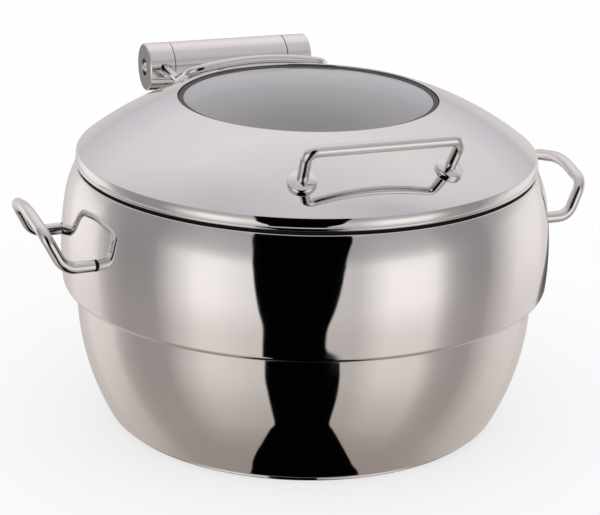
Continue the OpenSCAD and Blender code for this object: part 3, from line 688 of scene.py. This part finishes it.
# ---------------------------------------------------------------- lid handle
LID_ROD = 9.5
LID_SPAN = 124.6
LID_FORWARD = 155.0
LEG = 34.5
LEG_START = 2.0
LID_BEND = 8.0
LEAN, SPLAY = math.radians(30.0), math.radians(4.0)
ROSETTE_R = 12.0
ROSETTE_H = 3.6
ROSETTE_EDGE = 2.0
ROSETTE_CROWN = 30.0
ROSETTE_SUNK = 0.5
crown_turn = math.asin((ROSETTE_R - ROSETTE_EDGE) / (ROSETTE_CROWN - ROSETTE_EDGE))
crown_z = ROSETTE_H - ROSETTE_EDGE - (ROSETTE_CROWN - ROSETTE_EDGE) * math.cos(crown_turn)


def lid_foot(side):
    x, y = side * LID_SPAN / 2, -LID_FORWARD
    return Vector((x, y, dome_point(math.hypot(x, y))))


def lid_leg(side):
    return Vector((side * math.sin(SPLAY), -math.sin(LEAN), math.cos(LEAN))).normalized()


lid_grip = rod("lid_grip", [
    lid_foot(-1) + lid_leg(-1) * LEG_START, lid_foot(-1) + lid_leg(-1) * LEG,
    lid_foot(1) + lid_leg(1) * LEG, lid_foot(1) + lid_leg(1) * LEG_START], (LID_BEND, LID_BEND), LID_ROD / 2)
dress(lid_grip, "lid", rod_steel, "mirror_steel", "lid_handle")

for name, side, node in (("rosette_left", -1, "handle_rosette_left"),
                         ("rosette_right", 1, "handle_rosette_right")):
    at = lid_foot(side)
    lean = 1 - DOME_X / math.hypot(at[0], at[1])
    up = Vector((at[0] * lean, at[1] * lean, at[2] - DOME_Z)).normalized()
    place = Matrix.Translation(at * MM) @ up.to_track_quat("Z", "Y").to_matrix().to_4x4()
    rosette = revolve(name, [
        [(0, -ROSETTE_SUNK, 0, -1), (ROSETTE_R, -ROSETTE_SUNK, 0, -1)],
        [(ROSETTE_R, -ROSETTE_SUNK, 1, 0), (ROSETTE_R, ROSETTE_H - ROSETTE_EDGE, 1, 0)],
        arc(ROSETTE_R - ROSETTE_EDGE, ROSETTE_H - ROSETTE_EDGE, ROSETTE_EDGE,
            0, math.pi / 2 - crown_turn, 0.2),
        arc(0, crown_z, ROSETTE_CROWN, math.pi / 2 - crown_turn, math.pi / 2, 0.6),
    ], place, 128)
    dress(rosette, "lid", mirror_steel, "mirror_steel", node)

# ---------------------------------------------------------------- hinge rod
HINGE_ROD = 8.0
port_x = rod_high[0] - HINGE_ROD / 2
rod_end_y = rod_high[1]
front_y = rod_low[1] + HINGE_ROD / 2
port_z = HINGE_Z + 2.4
KNEE_Y = 161.5              # where the rod turns up from the port's line
SHOULDER_TOP, CREST = 275.1, 286.0
HINGE_BENDS = (18.0, 14.0, 290.0, 14.0, 18.0)
hinge_rod = rod("hinge_rod", [
    (-port_x, rod_end_y, port_z), (-port_x, KNEE_Y, port_z), (-port_x, front_y, SHOULDER_TOP),
    (0, front_y, CREST),
    (port_x, front_y, SHOULDER_TOP), (port_x, KNEE_Y, port_z), (port_x, rod_end_y, port_z)],
    HINGE_BENDS, HINGE_ROD / 2)
dress(hinge_rod, "lid", rod_steel, "mirror_steel", "hinge_bar")

# ---------------------------------------------------------------- hinge barrel
BORE = 18.0
half = barrel_high[0]
cut = 0.35
along_x = Matrix.Translation((0, HINGE_Y * MM, HINGE_Z * MM)) @ Matrix.Rotation(math.pi / 2, 4, "Y")
tube = revolve("barrel_tube", [
    [(BORE, -half, 0, -1), (BARREL_R - cut, -half, 0, -1)],
    arc(BARREL_R - cut, -half + cut, cut, -math.pi / 2, 0, 0.1),
    [(BARREL_R, -half + cut, 1, 0), (BARREL_R, half - cut, 1, 0)],
    arc(BARREL_R - cut, half - cut, cut, 0, math.pi / 2, 0.1),
    [(BARREL_R - cut, half, 0, 1), (BORE, half, 0, 1)],
    [(BORE, half, -1, 0), (BORE, -half, -1, 0)],
], along_x, 256)
dress(tube, "base", barrel_steel, "mirror_steel", "hinge_barrel")

# ---------------------------------------------------------------- finishes of the CAD pieces that stay
FINISH = {
    "hinge_end_left": cap_steel, "hinge_end_right": cap_steel,
    "hinge_bracket": satin_steel, "lid_collar": satin_steel, "window_retainer": satin_steel,
    "handle_backing_pads": satin_steel, "bracket_backing_plate": satin_steel,
    "induction_disc": brushed_steel, "bearing_bush_left": bronze, "bearing_bush_right": bronze,
    "damper_cartridge": damper, "torsion_spring": dark_steel, "hinge_shaft": dark_steel,
    "bracket_screws": dark_steel, "retainer_screws": satin_steel, "handle_screws": dark_steel,
    "hinge_bar_studs": satin_steel, "hinge_bar_nuts": satin_steel, "end_screws": satin_steel,
    "grub_screws": dark_steel,
}
for node, material in FINISH.items():
    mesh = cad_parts[node].data
    for i in range(len(mesh.materials)):
        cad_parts[node].material_slots[i].material = material

# ---------------------------------------------------------------- studio
world = bpy.data.worlds.new("studio")
bpy.context.scene.world = world
world.use_nodes = True
sky = world.node_tree
sky.nodes.clear()


def maths(operation, *values):
    """A Math node's result."""
    node = put(sky, "ShaderNodeMath", operation=operation)
    for i, value in enumerate(values):
        if isinstance(value, bpy.types.NodeSocket):
            sky.links.new(value, node.inputs[i])
        else:
            node.inputs[i].default_value = value
    return node.outputs[0]


def curve(value, low, high, points):
    """A smooth curve through (input, output) points, over low to high."""
    lowest = min(p[1] for p in points)
    highest = max(p[1] for p in points)
    node = put(sky, "ShaderNodeFloatCurve", {"Factor": 1.0, "Value": maths(
        "DIVIDE", maths("SUBTRACT", value, low), high - low)})
    mapping = node.mapping
    line_ = mapping.curves[0]
    places = [((x - low) / (high - low), (y - lowest) / (highest - lowest)) for x, y in sorted(points)]
    line_.points[0].location = places[0]
    line_.points[1].location = places[-1]
    for place in places[1:-1]:
        line_.points.new(*place)
    for point in line_.points:
        point.handle_type = "AUTO_CLAMPED"
    mapping.update()
    return maths("ADD", maths("MULTIPLY", node.outputs[0], highest - lowest), lowest)


def step(value, low, high):
    """0 below low to 1 above high, smoothly. Turned round if low is above high."""
    return put(sky, "ShaderNodeMapRange", {"Value": value, "From Min": low, "From Max": high},
               interpolation_type="SMOOTHSTEP").outputs["Result"]


def mix(fac, a, b):
    node = put(sky, "ShaderNodeMix", data_type="RGBA")
    for key, value in ((0, fac), (6, a), (7, b)):
        if isinstance(value, bpy.types.NodeSocket):
            sky.links.new(value, node.inputs[key])
        else:
            node.inputs[key].default_value = value if key == 0 else (*value, 1)
    return node.outputs[2]


def grey(value, tint=(1, 1, 1)):
    """A value as a colour with a tint."""
    return put(sky, "ShaderNodeVectorMath", {0: tint, "Scale": value}, operation="SCALE").outputs[0]


def plus(a, b):
    return put(sky, "ShaderNodeVectorMath", {0: a, 1: b}, operation="ADD").outputs[0]


direction = put(sky, "ShaderNodeTexCoord").outputs["Generated"]
parts = put(sky, "ShaderNodeSeparateXYZ", {0: direction}).outputs
degrees = 180 / math.pi
az = maths("MULTIPLY", maths("ARCTAN2", parts["X"], maths("MULTIPLY", parts["Y"], -1.0)), degrees)
el = maths("MULTIPLY", maths("ARCSINE", parts["Z"]), degrees)

pattern = curve(az, -180, 180, [
    (-180, .55), (-165, .75), (-150, .95), (-138, .9), (-128, .50), (-117, .12), (-105, 0), (-98, 0),
    (-90, .2), (-83, .53), (-74, .85), (-66, 1), (-55, .92), (-45, .80), (-22, .6), (0, .5), (7, .63),
    (15, .88), (24, 1.0), (36, .97), (43, .75), (50, .32), (58, .1), (67, .03), (74, .2), (82, .47),
    (90, .7), (100, .86), (112, .88), (127, .74), (145, .6), (160, .5), (180, .55)])
amp = curve(el, -90, 90, [
    (-90, 0), (-70, .0), (-60, .02), (-50, .09), (-40, .155), (-30, .235), (-24, .27), (-18, .33),
    (-12, .385), (-6, .40), (0, .39), (10, .26), (20, .14), (30, .10), (42, .0), (90, 0)])
low_part = ramp(sky, maths("DIVIDE", maths("ADD", el, 90.0), 180.0), [
    ((e + 90) / 180, c) for e, c in (
        (-90, (.50, .475, .46)), (-70, (.57, .53, .51)), (-60, (.575, .54, .52)), (-50, (.585, .555, .533)),
        (-40, (.58, .55, .533)), (-20, (.57, .545, .535)), (-8, (.543, .526, .525)), (30, (.545, .53, .535)),
        (50, (.66, .655, .67)), (90, (.70, .69, .70)))])
lower = plus(low_part, grey(maths("MULTIPLY", amp, pattern), (1.0, .98, .975)))
front_sky = ramp(sky, maths("DIVIDE", el, 90.0), [
    (0.2, (.66, .65, .665)), (0.45, (.685, .67, .695)), (0.75, (.715, .70, .715)), (0.95, (.765, .75, .765))])
back_sky = ramp(sky, maths("DIVIDE", el, 90.0), [
    (0.0, (.805, .785, .785)), (0.11, (.74, .725, .75)), (0.22, (.785, .765, .785)),
    (0.33, (.835, .81, .825)), (0.6, (.865, .84, .85)), (0.9, (.785, .77, .785))])
behind = curve(az, -180, 180, [
    (-180, 1), (-165, .95), (-150, .7), (-135, .42), (-120, .2), (-105, .06), (-90, 0), (70, 0),
    (90, .45), (105, .75), (120, .9), (150, .97), (180, 1)])
upper = mix(behind, front_sky, back_sky)
open_sky = mix(step(el, maths("SUBTRACT", 33.0, maths("MULTIPLY", behind, 29.0)),
                    maths("SUBTRACT", 44.0, maths("MULTIPLY", behind, 32.0))), lower, upper)

left_edge = curve(el, -90, 90, [
    (90, -48), (34, -47.3), (20, -44.8), (-1, -43.2), (-8, -42), (-15, -40.4), (-22, -38.6), (-28, -39),
    (-35, -38), (-42, -37.1), (-49, -36.4), (-52.8, -40.2), (-55.6, -43.4), (-58.4, -47), (-61.2, -51.2),
    (-63.9, -56.4), (-66.6, -62.3), (-69.2, -69.4), (-71.6, -77), (-73, -82.5), (-75.5, -110), (-78, -184),
    (-90, -184)])
right_edge = curve(el, -90, 90, [
    (90, 5), (36, 4), (23, .5), (12, -1.6), (1, -2.6), (-7, -4.3), (-14, -6.5), (-21.4, -9.6), (-26.4, -10),
    (-27.6, -1.6), (-35, -1.7), (-41, -2.4), (-48.5, -3.1), (-52, 0.1), (-54.6, 3.3), (-57.3, 6.9),
    (-60, 11), (-62.6, 16), (-65.2, 22), (-67.6, 29.4), (-69.7, 38.4), (-71.3, 54.3),
    (-75, 100), (-78, 184), (-90, 184)])
SOFT = 0.6
band = maths("MULTIPLY",
             step(maths("SUBTRACT", az, left_edge), -SOFT, SOFT),
             step(maths("SUBTRACT", right_edge, az), -SOFT, SOFT))
band = maths("MULTIPLY", band, maths("SUBTRACT", 1.0, step(el, 42, 54)))
corner = maths("MULTIPLY", maths("MULTIPLY", step(az, 138, 146), maths("SUBTRACT", 1.0, step(az, 170, 178))),
               maths("MULTIPLY", step(el, -68, -62), maths("SUBTRACT", 1.0, step(el, -46, -32))))
dark = maths("MAXIMUM", band, maths("MULTIPLY", corner, 0.72))
seen = mix(dark, open_sky, (.03, .03, .03))
linear = put(sky, "ShaderNodeGamma", {"Color": seen, "Gamma": 2.2}).outputs[0]

path = put(sky, "ShaderNodeLightPath").outputs
WHITE = 1.0
studio = put(sky, "ShaderNodeBackground", {"Color": linear, "Strength": 1 / 0.8}).outputs[0]
plain = put(sky, "ShaderNodeBackground", {"Color": (WHITE, WHITE, WHITE, 1), "Strength": 1.0}).outputs[0]
plain_ray = maths("MAXIMUM", path["Is Camera Ray"], path["Is Diffuse Ray"])
both = put(sky, "ShaderNodeMixShader", {0: plain_ray, 1: studio, 2: plain}).outputs[0]
put(sky, "ShaderNodeOutputWorld", {"Surface": both})
world.cycles.sampling_method = "NONE"

FLOOR_HALF = 30.0
FLOOR_Z = -0.0002
SQUARE = ((-1, -1), (1, -1), (1, 1), (-1, 1))
floor_mesh = bpy.data.meshes.new("floor")
floor_mesh.from_pydata([(x * FLOOR_HALF, y * FLOOR_HALF, FLOOR_Z) for x, y in SQUARE], [], [(0, 1, 2, 3)])
floor = bpy.data.objects.new("floor", floor_mesh)
bpy.context.scene.collection.objects.link(floor)
paper, paper_tree, paper_body = shader("floor_paper")
paper_body.inputs["Roughness"].default_value = 1.0
paper_body.inputs["Specular IOR Level"].default_value = 0.0
paper_tone = ramp(paper_tree, noise(paper_tree, 3.0, 2.0), [(0.3, (0.325,) * 3), (0.7, (0.34,) * 3)])
paper_tree.links.new(paper_tone, paper_body.inputs["Base Color"])
paper_body.inputs["Emission Color"].default_value = (1, 1, 1, 1)
paper_body.inputs["Emission Strength"].default_value = 0.66
floor_mesh.materials.append(paper)
floor.visible_glossy = False

# An oval dark sheet with a soft edge lies behind the object, and only reflections see it.
# It draws the ring's dark outline.
SHEET_AT = (0.441, 0.226, 0.0)
SHEET_TURN = math.radians(72.7)
SHEET_HALF = (0.225, 0.082, 1.0)
SHEET_SIDES = 64
sheet_edge = [(math.cos(a), math.sin(a), 0.0)
              for a in np.linspace(0, 2 * math.pi, SHEET_SIDES, endpoint=False)]
sheet_mesh = bpy.data.meshes.new("dark_sheet")
sheet_mesh.from_pydata(sheet_edge, [], [tuple(range(SHEET_SIDES))])
sheet = bpy.data.objects.new("dark_sheet", sheet_mesh)
bpy.context.scene.collection.objects.link(sheet)
sheet.location = SHEET_AT
sheet.rotation_euler = (0.0, 0.0, SHEET_TURN)
sheet.scale = SHEET_HALF
felt, felt_tree, felt_body = shader("dark_felt")
felt_body.inputs["Roughness"].default_value = 1.0
felt_body.inputs["Specular IOR Level"].default_value = 0.0
felt_tree.links.new(ramp(felt_tree, noise(felt_tree, 8.0, 2.0), [(0.3, (0.055,) * 3), (0.7, (0.065,) * 3)]),
                    felt_body.inputs["Base Color"])
reach = put(felt_tree, "ShaderNodeVectorMath",
            {0: put(felt_tree, "ShaderNodeTexCoord").outputs["Object"]}, operation="LENGTH")
felt_cover = ramp(felt_tree, reach.outputs["Value"],
                  [(0.35, (0.92,) * 3), (0.75, (0.7,) * 3), (0.99, (0, 0, 0))])
felt_tree.links.new(felt_cover, felt_body.inputs["Alpha"])
sheet_mesh.materials.append(felt)
for ray in ("camera", "diffuse", "shadow", "transmission"):
    setattr(sheet, "visible_" + ray, False)

# ---------------------------------------------------------------- camera
camera_data = bpy.data.cameras.new("camera")
camera = bpy.data.objects.new("camera", camera_data)
bpy.context.scene.collection.objects.link(camera)
SENSOR = 36.0
FRAME_WIDTH = 600
FOCAL = 2146.3              # in widths of one picture element
CAMERA_AT = (-0.6230, -1.6474, 0.7517)
camera_data.sensor_width = SENSOR
camera_data.lens = FOCAL / FRAME_WIDTH * SENSOR
camera_data.clip_end = 100.0
turn, rise, roll = math.radians(-20.59), math.radians(19.28), math.radians(1.386)
right = Vector((math.cos(turn), math.sin(turn), 0))
back = Vector((math.sin(turn) * math.cos(rise), -math.cos(turn) * math.cos(rise), math.sin(rise)))
up = back.cross(right)
right_rolled = right * math.cos(roll) + up * math.sin(roll)
up_rolled = up * math.cos(roll) - right * math.sin(roll)
view = Matrix((right_rolled, up_rolled, back)).transposed().to_4x4()
view.translation = Vector(CAMERA_AT)
camera.matrix_world = view
bpy.context.scene.camera = camera
bpy.context.scene.view_settings.view_transform = "Standard"
